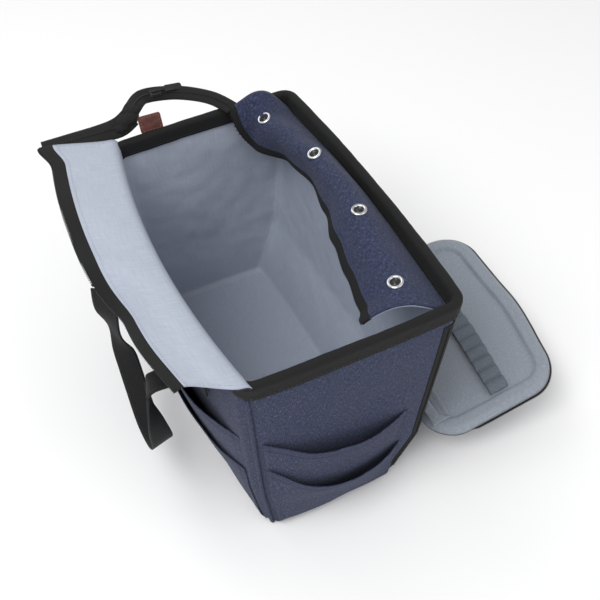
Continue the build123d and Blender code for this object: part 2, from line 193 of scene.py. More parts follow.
# closed-cell foam and pressed board, both inside the walls
peFoam = smoothSurface("peFoam", [(0.3, "d5d7d9"), (0.7, "eceeef")], 0.0015, 0.7, 0.0006, Roughness=0.9)
greyBoard = smoothSurface("greyBoard", [(0.3, "6b6a66"), (0.7, "85837e")], 0.002, 0.3, 0.0002, Roughness=0.8)
print("materials made")


# mesh tools
def finishPiece(mesh, name, material, smooth=True):
    bmesh.ops.recalc_face_normals(mesh, faces=mesh.faces)
    data = bpy.data.meshes.new(name)
    mesh.to_mesh(data)
    mesh.free()
    piece = bpy.data.objects.new(name, data)
    bpy.context.scene.collection.objects.link(piece)
    data.materials.append(material)
    for polygon in data.polygons:
        polygon.use_smooth = smooth
    return piece


def clothPiece(name, cells, place, flat, material, thick=1.1, side=0.0, closed=False):
    # a grid of cloth moved to place(u, v) in millimetres, with a flat map in metres and its thickness
    mesh = bmesh.new()
    bmesh.ops.create_grid(mesh, x_segments=cells[0], y_segments=cells[1], size=0.5)
    flatMap = mesh.loops.layers.uv.new("flat")
    for face in mesh.faces:
        for corner in face.loops:
            spot = corner.vert.co
            corner[flatMap].uv = ((spot.x + 0.5) * flat[0] * mm, (spot.y + 0.5) * flat[1] * mm)
    for vert in mesh.verts:
        vert.co = Vector(place(vert.co.x + 0.5, vert.co.y + 0.5)) * mm
    if closed:
        bmesh.ops.remove_doubles(mesh, verts=mesh.verts, dist=0.00005)
    piece = finishPiece(mesh, name, material)
    if thick:
        wall = piece.modifiers.new("thickness", "SOLIDIFY")
        wall.thickness = thick * mm
        wall.offset = side
    return piece


def attach(piece, body, stands=()):
    if body:
        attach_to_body(piece, body)
    if stands:
        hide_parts(*stands)
    return piece


def sheetOn(piece, body=None, stands=()):
    # a cloth piece is attached to its body and the parts it stands for are hidden
    return attach(piece, body, stands)


def headingOf(route, share):
    # the way a line runs at a share of its length
    step = 0.002
    return route(min(1.0, share + step))[0] - route(max(0.0, share - step))[0]


def beadRow(name, route, pitch, length, material, size, rise):
    # small rounded beads along route(share), which gives a point and the cloth's normal in millimetres
    mesh = bmesh.new()
    count = max(2, int(length / pitch))
    for index in range(count):
        share = (index + 0.5) / count
        spot, normal = route(share)
        ahead = headingOf(route, share)
        if ahead.length < 1e-6:
            continue
        way = ahead.normalized()
        out = (normal - way * normal.dot(way)).normalized()
        turn = Matrix((way, out.cross(way), out)).transposed().to_4x4()
        place = Matrix.Translation((spot + out * rise) * mm)
        move = place @ turn @ Matrix.Scale(mm, 4) @ Matrix.Diagonal((*size, 1.0))
        bmesh.ops.create_icosphere(mesh, subdivisions=1, radius=0.5, matrix=move)
    return finishPiece(mesh, name, material)


def stitchRow(name, route, pitch, length, material, width=0.8):
    # each stitch shows for 0.62 of its pitch and stands 0.6 mm high
    return beadRow(name, route, pitch, length, material, (0.62 * pitch, width, 0.6), 0.1)


def teethRow(name, route, length, size=(1.3, 3.0, 2.0)):
    # the coil's turns, 2.2 mm apart
    return beadRow(name, route, 2.2, length, nylonCoil, size, 0.0)


# the bag's outline
bag = {
    # height, half length, front face, back face, bows (front, back, ends), corner radius
    "rows": [(0, 187, -47, 102, 6, 10, 0.5, 12), (80, 193, -84, 110, 8, 16, 4, 13),
             (262, 198.4, -113.4, 113.4, 8, 20, 2, 14), (271, 198.7, -114.9, 113.6, 8, 20, 2, 14)],
    "wallTop": 264, "rimTop": 270, "fabric": 1.1, "baseMiddle": Vector((0, 27, 0)), "baseRise": 0.6,
}


def sectionAt(z):
    rows = bag["rows"]
    for low, high in zip(rows, rows[1:]):
        if z <= high[0] or high is rows[-1]:
            share = (z - low[0]) / (high[0] - low[0])
            values = [mix(a, b, share) for a, b in zip(low, high)][1:]
            return dict(zip(("half", "front", "back", "frontBow", "backBow", "endBow", "corner"), values))


def lengthsAt(z):
    shape = sectionAt(z)
    corner = shape["corner"]
    run = 2 * (shape["half"] - corner)
    end = shape["back"] - shape["front"] - 2 * corner
    arc = math.pi / 2 * corner
    return [run, arc, end, arc, run, arc, end, arc]


topLengths = lengthsAt(bag["rows"][2][0])
girth = sum(topLengths)
cornerStarts = [sum(topLengths[:i]) / girth for i in range(9)]
cornerMiddles = [(cornerStarts[i] + cornerStarts[i + 1]) / 2 for i in (1, 3, 5, 7)]


def aroundBag(u, z, out=0.0):
    # a point of the outline and its outward direction; u runs back, near end, front, far end
    half, front, back, frontBow, backBow, endBow, corner = sectionAt(z).values()
    u = u % 1.0
    index = max(i for i in range(8) if cornerStarts[i] <= u + 1e-9)
    t = (u - cornerStarts[index]) / (cornerStarts[index + 1] - cornerStarts[index])
    inX = half - corner
    inLow = front + corner
    inHigh = back - corner
    straight = {0: ((mix(inX, -inX, t), back), (0, 1)), 2: ((-half, mix(inHigh, inLow, t)), (-1, 0)),
                4: ((mix(-inX, inX, t), front), (0, -1)), 6: ((half, mix(inLow, inHigh, t)), (1, 0))}
    if index in straight:
        (x, y), (nx, ny) = straight[index]
    else:
        cx, cy, begin = {1: (-inX, inHigh, 90), 3: (-inX, inLow, 180), 5: (inX, inLow, 270),
                         7: (inX, inHigh, 0)}[index]
        angle = math.radians(begin + 90 * t)
        nx = math.cos(angle)
        ny = math.sin(angle)
        x = cx + corner * nx
        y = cy + corner * ny
    middle = (front + back) / 2
    lift = (backBow if ny > 0 else frontBow) * (1 - (x / half) ** 2)
    y += ny * lift
    x += nx * endBow * (1 - ((y - middle) / (back - front) * 2) ** 2)
    return Vector((x + nx * out, y + ny * out, z)), Vector((nx, ny, 0))


def seamDistance(u):
    # millimetres from the nearest corner seam
    return min(abs((u - middle + 0.5) % 1.0 - 0.5) for middle in cornerMiddles) * girth


# outer walls: cloth that puffs a little between its seams
wallLook = {
    "puff": 1.6, "ripple": 1.5, "groove": 2.6, "foot": 6.0,
    # how far from a corner seam, the base and the rim the cloth is held flat
    "seamHold": 34, "baseHold": 40, "rimHold": (262, 225),
    # the two grooves beside a seam: distance and width
    "grooveAway": 4.8, "grooveWide": 1.7, "seamWide": 2.0,
}


def wallPoint(u, z, out=0.0):
    curl = max(0.0, 1 - z / wallLook["foot"])
    tuck = wallLook["foot"] * (1 - math.sqrt(max(0.0, 1 - curl * curl)))
    base, normal = aroundBag(u, z)
    away = seamDistance(u)
    fullness = ease(0, wallLook["seamHold"], away) * ease(0, wallLook["baseHold"], z)
    fullness *= ease(*wallLook["rimHold"], z)
    swell = wallLook["puff"] * fullness
    swell += wallLook["ripple"] * fullness * (0.5 + ripple(base, 62, 3.1) + 0.4 * ripple(base, 24, 8.2))
    grooves = bell(away - wallLook["grooveAway"], wallLook["grooveWide"])
    grooves += 0.5 * bell(away, wallLook["seamWide"])
    pull = wallLook["groove"] * grooves
    return base + normal * (out + swell - pull - tuck)


def panel(name, uLow, uHigh, cells):
    def place(u, v):
        return wallPoint(mix(uLow, uHigh, u), mix(bag["baseRise"], bag["wallTop"], v))
    width = (uHigh - uLow) * girth
    piece = clothPiece(name, cells, place, (width, bag["wallTop"]), navyOxford, bag["fabric"], -1.0)
    return piece


panelEnds = [cornerMiddles[3] - 1.0, *cornerMiddles]
for name, index, cells in (("back_panel", 0, (84, 46)), ("near_end_panel", 1, (56, 46)),
                           ("front_panel", 2, (84, 46)), ("far_end_panel", 3, (56, 46))):
    shell = panel(name + "_cloth", panelEnds[index], panelEnds[index + 1], cells)
    attach(shell, "bag", [name])


def basePoint(u, v):
    # from the middle (v = 0) out to the base seam (v = 1)
    middle = bag["baseMiddle"] + Vector((0, 0, bag["baseRise"]))
    return middle.lerp(wallPoint(u, bag["baseRise"]), max(v, 0.002))


baseCloth = clothPiece("bottom_panel_cloth", (160, 14), basePoint, (1040, 75), navyOxford, 0.8,
                       closed=True)
sheetOn(baseCloth, "bag", ["bottom_panel"])


# welt piping at the two back corners
pipingLook = {"radius": 2.5, "out": 1.2, "low": 2.6, "high": 251, "steps": 30}


def pipingPiece():
    mesh = bmesh.new()
    for middle in (cornerMiddles[0], cornerMiddles[3]):
        rings = []
        for step in range(pipingLook["steps"] + 1):
            z = mix(pipingLook["low"], pipingLook["high"], step / pipingLook["steps"])
            slide = Matrix.Translation(wallPoint(middle, z, pipingLook["out"]) * mm)
            circle = bmesh.ops.create_circle(mesh, segments=10, radius=pipingLook["radius"] * mm, matrix=slide)
            rings.append(circle["verts"])
            if step:
                edges = {e for v in rings[-2] + rings[-1] for e in v.link_edges
                         if all(w in rings[-2] for w in e.verts) or all(w in rings[-1] for w in e.verts)}
                bmesh.ops.bridge_loops(mesh, edges=list(edges))
        bmesh.ops.contextual_create(mesh, geom=rings[0])
        bmesh.ops.contextual_create(mesh, geom=rings[-1])
    flatMap = mesh.loops.layers.uv.new("flat")
    for face in mesh.faces:
        for corner in face.loops:
            corner[flatMap].uv = (corner.vert.co.x + corner.vert.co.y, corner.vert.co.z)
    return finishPiece(mesh, "corner_piping_welt", navyOxford)


attach(pipingPiece(), "bag", ["corner_piping"])
print("outer walls made")

# lining: one bag of pale cloth, wrinkled, pulled in at its corner seams
liningLook = {"inset": 6.0, "floor": 6.4, "floorShare": 0.3, "wrinkle": 2.6, "sag": 1.6, "seamPull": 1.2}


def liningPoint(u, v):
    floorShare = liningLook["floorShare"]
    if v < floorShare:
        share = v / floorShare
        edge, normal = aroundBag(u, liningLook["floor"], -liningLook["inset"])
        spot = bag["baseMiddle"].lerp(edge, max(share, 0.002))
        soft = liningLook["sag"] * (0.5 + ripple(spot, 48, 5.0)) * ease(1.0, 0.8, share)
        return Vector((spot.x, spot.y, liningLook["floor"] + soft))
    z = mix(liningLook["floor"], bag["wallTop"] - 4, (v - floorShare) / (1 - floorShare))
    base, normal = aroundBag(u, z)
    loose = ease(6, 50, z) * ease(258, 225, z)
    folds = 0.5 + ripple((base.x, base.y, z * 0.6), 44, 1.7)
    folds += 0.5 * ripple((base.x, base.y, z * 1.6), 19, 9.1)
    pull = bell(seamDistance(u), 3.0) * liningLook["seamPull"]
    return base - normal * (liningLook["inset"] + liningLook["wrinkle"] * loose * max(0.0, folds) + pull)


lining = clothPiece("lining_cloth", (200, 60), liningPoint, (1190, 330), greyTaffeta, 0.6, 0.0, closed=True)
sheetOn(lining, "bag", ["lining"])

# rim binding: black tape folded over the stiffened rim
rimLook = {"low": 252, "outer": 1.6, "inner": -8.4, "round": 3.6, "wave": 0.5, "fineWave": 0.35, "swing": 1.2}


def rimPoint(u, v):
    # v runs up the outside, over the top and down the inside
    span = rimLook["outer"] - rimLook["inner"]
    height = bag["rimTop"] - rimLook["low"] - rimLook["round"]
    total = 2 * height + math.pi * rimLook["round"]
    along = v * total
    if along < height:
        out, z = rimLook["outer"], rimLook["low"] + along
    elif along > total - height:
        out, z = rimLook["inner"], rimLook["low"] + (total - along)
    else:
        angle = (along - height) / rimLook["round"]
        middle = (rimLook["outer"] + rimLook["inner"]) / 2
        out = middle + span / 2 * math.cos(angle)
        z = bag["rimTop"] - rimLook["round"] + rimLook["round"] * math.sin(angle)
    spot, normal = aroundBag(u, z)
    wave = rimLook["wave"] * ripple(spot, 30, 2.2) + rimLook["fineWave"] * ripple(spot, 9, 4.2)
    side = 1 if out > -3 else -1
    return spot + normal * (out + side * wave) + Vector((0, 0, rimLook["swing"] * ripple(spot, 75, 6.0)))


rim = clothPiece("rim_binding_tape", (240, 26), rimPoint, (1215, 55), blackTape, 1.0, 0.0, closed=True)
sheetOn(rim, "bag", ["rim_binding"])
for label, place in (("outer", 0.075), ("inner", 0.925)):
    def rimSeam(share, place=place):
        spot = rimPoint(share, place)
        normal = aroundBag(share, 250)[1] * (1 if place < 0.5 else -1)
        return spot + normal * 0.6, normal
    attach(stitchRow(f"rim_stitches_{label}", rimSeam, 4.2, girth, thread["black"]), "bag")
print("lining and rim made")


# patch pockets: panels that stand off the wall towards their hems
pocketLook = {
    "foot": 1.2, "hem": 9.0, "fold": 13, "plainShare": 0.7, "seamShare": 0.025, "stitch": 4.0,
    "backSide": 176, "sag": 4.0,
    # heights of each hem: back to front on an end wall, far to near on the back wall
    "endUpper": (178, 156, 146, 142, 138), "endLower": (132, 100, 86, 82, 84),
    "backUpper": (164, 158, 154, 158, 172), "backLower": (112, 106, 104, 106, 114),
}


def pocketRow(v, hem):
    # more rows near the hem, where the fold and its seam are
    fold = pocketLook["fold"]
    most = pocketLook["plainShare"]
    return (mix(pocketLook["foot"], hem - fold, v / most) if v < most else
            mix(hem - fold, hem, (v - most) / (1 - most)))


def footTuck(z, off):
    # the cloth turns in at the base seam, all layers together
    curl = max(0.0, 1 - z / wallLook["foot"])
    return wallLook["foot"] * (1 - math.sqrt(max(0.0, 1 - curl * curl))) + off * ease(16, 3, z)


def hemRelief(z, hem):
    below = hem - z
    wide = pocketLook["hem"]
    return 0.7 * ease(wide + 1, wide - 1, below) - 0.9 * bell(below - wide, 1.2)


def endPocketPoint(side, u, v, off, hemLine, bulge, seed):
    hem = curveAt(pocketLook[hemLine], u)
    z = pocketRow(v, hem)
    wall = sectionAt(z)
    low = mix(-38, -62, z / 150)
    y = mix(wall["back"] - 10, low, u)
    t = 2 * u - 1
    swell = bulge * ((z - pocketLook["foot"]) / (hem - pocketLook["foot"])) ** 1.15
    arch = (1 - abs(t) ** 2.4)
    soft = 1.5 * ripple((y, z, seed), 38, seed) * ease(0, 0.14, 0.5 - abs(t) / 2)
    out = wall["half"] + off + wall["endBow"] * (1 - t * t) + swell * arch + soft
    out += hemRelief(z, hem) - footTuck(z, off)
    drop = pocketLook["sag"] * arch * ease(hem - 60, hem, z) * (1 + 0.5 * math.sin(3 * t + seed))
    return Vector((side * out, y, z - drop))


def backPocketPoint(side, u, v, off, hemLine, bulge, seed):
    hem = curveAt(pocketLook[hemLine], u)
    z = pocketRow(v, hem)
    wall = sectionAt(z)
    x = mix(pocketLook["backSide"], -pocketLook["backSide"], u)
    t = 2 * u - 1
    swell = bulge * ((z - pocketLook["foot"]) / (hem - pocketLook["foot"])) ** 1.15
    lobes = 1 - 0.45 * bell(t, 0.05)  # a seam down the middle makes two pockets
    arch = (1 - abs(t) ** 3.2) * lobes
    soft = 1.6 * ripple((x, z, seed), 46, seed) * ease(0, 0.1, 0.5 - abs(t) / 2)
    y = wall["back"] + off + wall["backBow"] * (1 - (x / wall["half"]) ** 2) + swell * arch + soft
    y += hemRelief(z, hem) - footTuck(z, off)
    drop = pocketLook["sag"] * arch * ease(hem - 60, hem, z)
    return Vector((x, y, z - drop))


def makePocket(name, pointOf, side, off, hemLine, bulge, seed, width, cells, middleSeam=False):
    hem = pocketLook[hemLine][2]

    def place(u, v):
        return pointOf(side, u, v, off, hemLine, bulge, seed)
    piece = clothPiece(name + "_cloth", cells, place, (width, hem), navyOxford, 1.0, 0.0)
    attach(piece, "bag", [name])
    outward = Vector((0, 1, 0)) if side == 0 else Vector((side, 0, 0))

    def hemSeam(share):
        return place(share, 1 - 0.3 * pocketLook["hem"] / pocketLook["fold"]) + outward * 0.75, outward
    attach(stitchRow(name + "_hem_stitches", hemSeam, pocketLook["stitch"], width, thread["navy"]), "bag")
    seams = [("side_stitches_a", pocketLook["seamShare"]), ("side_stitches_b", 1 - pocketLook["seamShare"])]
    if middleSeam:
        seams.append(("middle_stitches", 0.5))
    for label, across in seams:
        def seam(share, across=across):
            return place(across, mix(0.03, 0.97, share)) + outward * 0.75, outward
        attach(stitchRow(f"{name}_{label}", seam, pocketLook["stitch"], hem, thread["navy"]), "bag")


for side, label in ((-1, "near"), (1, "far")):
    makePocket(f"{label}_upper_pocket", endPocketPoint, side, 2.4, "endUpper", 15, 2.0 + side, 168, (46, 44))
    makePocket(f"{label}_lower_pocket", endPocketPoint, side, 4.2, "endLower", 17, 5.0 + side, 160, (46, 34))
makePocket("back_upper_pocket", backPocketPoint, 0, 1.6, "backUpper", 18, 11.0, 356, (84, 44), True)
makePocket("back_lower_pocket", backPocketPoint, 0, 3.2, "backLower", 13, 14.0, 356, (84, 34), True)
print("pockets made")


# flaps: each cloth section walks out from its root and turns as it goes
flapLook = {"edge": 92, "step": 1.0, "cells": 96, "probe": 0.004, "seamIn": 6, "root": 34, "frontFar": 186,
            "frontNear": -189, "stations": (186, 156, 104, 52, 0, -52, -104, -156, -189),
            "rise": (52, 27, 39, 54, 58, 51, 40, 33, 29),
            "fall": (-24, -80, -106, -98, -76, -56, -54, -48, -28),
            "pull": (3, 8, 9, 3, -2, -1, 7, 15, 22)}


def walkOut(start, bearing, reach):
    # start is (y, z); bearing gives degrees above +Y at a distance
    y, z = start
    gone = 0.0
    while gone < reach - 1e-6:
        step = min(flapLook["step"], reach - gone)
        angle = math.radians(bearing(gone + step / 2))
        y += step * math.cos(angle)
        z += step * math.sin(angle)
        gone += step
    return y, z


def backFlapPoint(u, w):
    # u from the far end to the near end, w along the cloth from inside the rim
    xRoot = mix(199, -199, u)
    rimLine = 113.6 + 20 * (1 - (xRoot / 198.7) ** 2)
    droop = 3 + 45 * ease(-12, -95, xRoot)
    lift = 5 * math.sin(u * 9.0) + 3 * math.sin(u * 23.0 + 1.0)

    def bearing(distance):
        if distance < 31:
            return mix(90, 4, ease(12, 31, distance))
        wave = lift * ease(31, 60, distance) * ease(100, 60, distance)
        return mix(4, -droop, ease(31, 66, distance)) + wave
    y, z = walkOut((rimLine - 9.8, 249.5), bearing, w)
    out = ease(28, 92, w)
    flare = 14 * ease(0.12, 0.0, u) * out
    x = xRoot + out * mix(24, 48, u)
    z += 0.9 * ripple((x, y, 0), 34, 4.4) * ease(24, 50, w)
    return Vector((x, y + flare, z))


def along(values, x):
    # a value that changes smoothly between stations on the front flap, far end first
    stations = flapLook["stations"]
    for index in range(len(stations) - 1):
        if x >= stations[index + 1] or index == len(stations) - 2:
            return mix(values[index], values[index + 1], ease(stations[index], stations[index + 1], x))


def frontFlapPoint(u, w):
    x = mix(flapLook["frontFar"], flapLook["frontNear"], u)
    rimLine = -113.4 - 8 * (1 - (x / 198.7) ** 2)
    rise = along(flapLook["rise"], x)
    fall = along(flapLook["fall"], x)

    def bearing(distance):
        return mix(rise, fall, ease(26, 68, distance))
    y, z = walkOut((rimLine + 9.6, 253), bearing, w)
    z += 0.8 * ripple((x, w, 0), 30, 7.7) * ease(10, 40, w)
    return Vector((x + along(flapLook["pull"], x) * ease(10, 92, w), y, z))


def crossOf(point, u, w):
    # the cloth's normal from its neighbours, on whichever side the order gives
    step = flapLook["probe"]
    lengthways = point(min(1.0, u + step), w) - point(max(0.0, u - step), w)
    return lengthways.cross(point(u, w + 0.6) - point(u, max(0.0, w - 0.6))).normalized()


def normalOf(point, u, w, up=Vector((0, 0, 1))):
    normal = crossOf(point, u, w)
    return normal if normal.dot(up) > 0 else -normal


def flapSheet(name, flap, wLow, wHigh, off, material, thick, stands):
    def place(u, v):
        w = mix(wLow, wHigh, v)
        return flap["point"](u, w) + crossOf(flap["point"], u, w) * flap["facing"] * off
    flat = (flap["length"], wHigh - wLow)
    cells = (flapLook["cells"], max(5, int((wHigh - wLow) / 2)))
    piece = clothPiece(name, cells, place, flat, material, thick)
    sheetOn(piece, None, stands)
    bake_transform(piece)


flaps = {
    "back": {"body": "back_flap", "point": backFlapPoint, "from": (0, 0.122, 0.272), "to": (0, 0.150, 0.272),
             "length": 398, "wide": 80, "navyOff": -0.8, "thread": thread["grey"]},
    "front": {"body": "front_flap", "point": frontFlapPoint, "from": (0, -0.105, 0.262),
              "to": (0, -0.088, 0.262), "length": 389, "wide": 84, "navyOff": 0.8, "thread": thread["navy"]},
}
for label, flap in flaps.items():
    point = flap["point"]
    wide = flap["wide"]
    edge = flapLook["edge"]
    away = flap["navyOff"]
    middle = (point(0.51, 40) - point(0.49, 40)).cross(point(0.5, 41) - point(0.5, 39))
    flap["facing"] = 1 if middle.z > 0 else -1
    flapSheet(f"{label}_flap_cover_cloth", flap, 4, wide, away, navyOxford, 0.9,
              [f"{label}_flap_cover"])
    flapSheet(f"{label}_flap_lining_cloth", flap, 0, wide, -away, greyTaffeta, 0.7,
              [f"{label}_flap_lining"])
    flapSheet(f"{label}_zip_tape_cloth", flap, wide - 2, edge, 0.0, blackTape, 2.6,
              [f"{label}_zip_tape"])

    def coilLine(share, point=point, edge=edge):
        return point(share, edge + 0.6), normalOf(point, share, edge)
    coil = teethRow(f"{label}_zip_coil_teeth", coilLine, flap["length"])
    attach(coil, None, [f"{label}_zip_coil"])
    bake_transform(coil)

    def seamAt(point, share, w):
        normal = normalOf(point, share, w)
        return point(share, w) + normal * 1.3, normal

    def longSeam(share, point=point, w=wide - flapLook["seamIn"]):
        return seamAt(point, share, w)
    seams = [(f"{label}_flap_stitches", longSeam, flap["length"])]
    for endName, endShare in (("far", 0.012), ("near", 0.988)):
        def endSeam(share, point=point, endShare=endShare, last=wide - flapLook["seamIn"]):
            return seamAt(point, endShare, mix(flapLook["root"], last, share))
        seams.append((f"{label}_flap_stitches_{endName}", endSeam, 42))
    for name, route, length in seams:
        seam = stitchRow(name, route, 4.0, length, flap["thread"])
        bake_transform(seam)
print("flaps made")

# grommets: rolled nickel rings through the front flap
# the last two sizes are for the black plugs of painted shade in the eyelet holes
grommetLook = {"places": (156, 52, -52, -156), "w": 47, "hole": 5.0, "flange": 8.5, "shadePlug": 5.4,
               "shadePlugDeep": 3.2}


def grommetSpots():
    # where each eyelet sits on the flap, and the flap's normal there
    far = flapLook["frontFar"]
    shares = [(far - x) / (far - flapLook["frontNear"]) for x in grommetLook["places"]]
    return [(frontFlapPoint(share, grommetLook["w"]),
             normalOf(frontFlapPoint, share, grommetLook["w"], Vector((0, 0.3, 1)))) for share in shares]


def joinTo(mesh, shape, move):
    # a shape made on its own is put in its place and joined to a mesh
    bmesh.ops.transform(shape, matrix=move, verts=shape.verts)
    data = bpy.data.meshes.new("shape")
    shape.to_mesh(data)
    shape.free()
    mesh.from_mesh(data)
    bpy.data.meshes.remove(data)


def ringMesh(mesh, spot, normal, inner, outer, height):
    # a rounded ring: a small profile spun about the normal
    turn = normal.to_track_quat("Z", "Y").to_matrix().to_4x4()
    middle = (inner + outer) / 2
    shape = bmesh.new()
    profile = []
    for step in range(9):
        angle = math.pi * step / 8
        radius = middle + (outer - inner) / 2 * math.cos(angle)
        profile.append(shape.verts.new(Vector((radius, 0, height * math.sin(angle))) * mm))
    edges = [shape.edges.new(pair) for pair in zip(profile, profile[1:])]
    bmesh.ops.spin(shape, geom=profile + edges, cent=(0, 0, 0), axis=(0, 0, 1), angle=2 * math.pi, steps=28,
                   use_merge=True)
    joinTo(mesh, shape, Matrix.Translation(spot * mm) @ turn)


def grommetSet(name, lift, height):
    mesh = bmesh.new()
    for spot, normal in grommetSpots():
        facing = normal if lift > 0 else -normal
        ringMesh(mesh, spot + facing * abs(lift), facing, grommetLook["hole"], grommetLook["flange"], height)
    bmesh.ops.remove_doubles(mesh, verts=mesh.verts, dist=0.00002)
    return finishPiece(mesh, name, nickelPlate)


attach(grommetSet("grommet_rings", 1.2, 1.5), "front_flap", ["grommets"])
attach(grommetSet("grommet_backs", -1.2, 1.0), "front_flap", ["grommet_washers"])


def grommetShadePlugs():
    # a black capped plug filling each eyelet's hole: painted shade where the hole shows dark
    mesh = bmesh.new()
    for spot, normal in grommetSpots():
        turn = Matrix.Translation(spot * mm) @ normal.to_track_quat("Z", "Y").to_matrix().to_4x4()
        radius = grommetLook["shadePlug"] * mm
        bmesh.ops.create_cone(mesh, cap_ends=True, segments=24, radius1=radius, radius2=radius,
                              depth=grommetLook["shadePlugDeep"] * mm, matrix=turn)
    return finishPiece(mesh, "grommet_painted_shade_plugs", blackEnamel)


attach(grommetShadePlugs(), "front_flap")
print("grommets made")


# straps and tapes
def makePath(points, facings, width, crown=0.0):
    return {"points": [Vector(p) for p in points], "facings": [Vector(f) for f in facings], "width": width,
            "crown": crown}


def strapPoint(path, share, across):
    # a point across a strap (-1 to 1) and the way its face looks
    points = path["points"]
    way = (curveAt(points, min(1.0, share + 0.004)) - curveAt(points, max(0.0, share - 0.004))).normalized()
    facing = curveAt(path["facings"], share)
    out = (facing - way * facing.dot(way)).normalized()
    shift = out.cross(way) * across * path["width"] / 2
    return curveAt(points, share) + shift + out * path["crown"] * (1 - across * across), out


def strap(name, path, thick, length, material, cells):
    def place(u, v):
        return strapPoint(path, u, 2 * v - 1)[0]
    return clothPiece(name, cells, place, (length, path["width"]), material, thick)


# closed end of the mouth zip: tape, knot, slider and leather tab past the far end
tails = {
    "back": {"path": makePath(
        [(222, 186, 272), (219, 150, 273), (215, 118, 275), (211, 96, 279), (216, 80, 284)],
        [(-0.1, 0.1, 1), (-0.2, 0, 1), (-0.3, 0, 1), (-0.5, 0.2, 0.8), (-0.6, 0.3, 0.7)], 25, 1.0),
        "length": 110, "cells": (40, 6), "flat": (0.11, 0.024), "stands": ["zip_tail"],
        "from": (0.22, 0.10, 0.28), "to": (0.22, 0.16, 0.275)},
    "front": {"path": makePath(
        [(213, 86, 283), (230, 72, 286), (249, 55, 283), (251, 30, 279), (239, 5, 278), (215, -20, 277),
         (188, -36, 273)],
        [(-0.6, 0.3, 0.7), (-0.6, 0.3, 0.7), (-0.45, 0.1, 0.9), (-0.35, 0, 0.95), (-0.3, 0, 0.95), (-0.2, 0, 1),
         (-0.1, 0, 1)], 20, 1.0),
        "length": 190, "cells": (60, 6), "flat": (0.19, 0.019), "stands": [],
        "from": (0.243, -0.002, 0.278), "to": (0.2, -0.03, 0.275)},
}
for label, half in tails.items():
    tape = strap(f"zip_tail_{label}", half["path"], 1.8, half["length"], blackTape, half["cells"])
    attach(tape, None, half["stands"])
    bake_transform(tape)
for label, half in tails.items():
    def tailLine(share, path=half["path"]):
        spot, out = strapPoint(path, share, 0.0)
        return spot + out * 1.2, out
    teeth = teethRow(f"zip_tail_teeth_{label}", tailLine, half["length"])
    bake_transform(teeth)


def knotPiece():
    # the tape folded over itself and tied beside the far rim
    mesh = bmesh.new()
    for centre, size, lean in (((216, 84, 282), (15, 21, 10), 20), ((224, 76, 285), (13, 13, 9), -30),
                               ((211, 92, 278), (12, 15, 9), 45)):
        move = Matrix.Translation(Vector(centre) * mm) @ Matrix.Rotation(math.radians(lean), 4, "Z")
        shape = move @ Matrix.Diagonal((size[0] * mm, size[1] * mm, size[2] * mm, 1.0))
        bmesh.ops.create_uvsphere(mesh, u_segments=24, v_segments=14, radius=0.72, matrix=shape)
    for vert in mesh.verts:
        spot = vert.co / mm
        vert.co += Vector((1, 0, 0.5)) * (0.9 * math.sin(spot.y * 0.9 + spot.x * 0.5) * mm)
    flatMap = mesh.loops.layers.uv.new("flat")
    for face in mesh.faces:
        for corner in face.loops:
            corner[flatMap].uv = (corner.vert.co.x + corner.vert.co.z, corner.vert.co.y)
    return finishPiece(mesh, "zip_tail_knot", blackTape)


attach(knotPiece(), "bag")


def roundedPlate(mesh, size, corner, move):
    # a plate with rounded corners and softened edges, centred on the origin before its move
    shape = bmesh.new()
    stretch = Matrix.Diagonal((size[0] * mm, size[1] * mm, size[2] * mm, 1.0))
    bmesh.ops.create_cube(shape, size=1.0, matrix=stretch)
    upright = [e for e in shape.edges if abs(e.verts[0].co.z - e.verts[1].co.z) > 1e-6]
    bmesh.ops.bevel(shape, geom=upright, offset=corner * mm, offset_type="OFFSET", segments=6, profile=0.5,
                    affect="EDGES", material=-1)
    rimEdges = [e for e in shape.edges if e.calc_face_angle(0.0) > 1.2]
    bmesh.ops.bevel(shape, geom=rimEdges, offset=min(size) * 0.28 * mm, offset_type="OFFSET", segments=3,
                    profile=0.5, affect="EDGES", material=-1)
    joinTo(mesh, shape, move)


def frameAt(spot, way, out):
    way = Vector(way).normalized()
    out = Vector(out)
    out = (out - way * out.dot(way)).normalized()
    turn = Matrix((way, out.cross(way), out)).transposed().to_4x4()
    return Matrix.Translation(Vector(spot) * mm) @ turn


tabFrame = frameAt((204, 61, 277), (-0.05, -1, 0.0), (-0.93, 0.05, 0.36))
tabLook = {"size": (27, 20, 2.4), "corner": 2.5, "seam": (11, 7.6, 1.4)}


def tabPiece():
    mesh = bmesh.new()
    roundedPlate(mesh, tabLook["size"], tabLook["corner"], tabFrame)
    return finishPiece(mesh, "zip_end_leather_tab", brownLeather)


attach(tabPiece(), "bag", ["zip_end_tab"])


def tabLine(share):
    x, y, z = tabLook["seam"]
    corners = [Vector(c) for c in ((-x, -y, z), (x, -y, z), (x, y, z), (-x, y, z), (-x, -y, z))]
    runs = [2 * x, 2 * y, 2 * x, 2 * y]
    normal = tabFrame.to_3x3() @ Vector((0, 0, 1))
    gone = share * sum(runs)
    for begin, finish, run in zip(corners, corners[1:], runs):
        if gone <= run:
            return tabFrame @ (begin.lerp(finish, gone / run) * mm) / mm, normal
        gone -= run
    return tabFrame @ (corners[0] * mm) / mm, normal


attach(stitchRow("leather_tab_stitches", tabLine, 3.2, 66, thread["leather"]), "bag")


def platesPiece(name, frameMatrix, plates, material):
    # several rounded plates in one frame; each has its size, corner radius and place along and above it
    mesh = bmesh.new()
    for size, corner, along, above in plates:
        roundedPlate(mesh, size, corner, frameMatrix @ Matrix.Translation((along * mm, 0, above * mm)))
    return finishPiece(mesh, name, material)


def sliderPiece(name, frameMatrix, size):
    # body with a nose, a raised bridge for the pull
    length, width, height = size
    plates = [((length, width, height * 0.4), width * 0.3, 0, 0),
              ((length * 0.92, width * 0.86, height * 0.34), width * 0.3, 0, height * 0.42),
              ((length * 0.62, width * 0.22, height * 0.5), 0.4, 0, height * 0.78)]
    return platesPiece(name, frameMatrix, plates, blackEnamel)


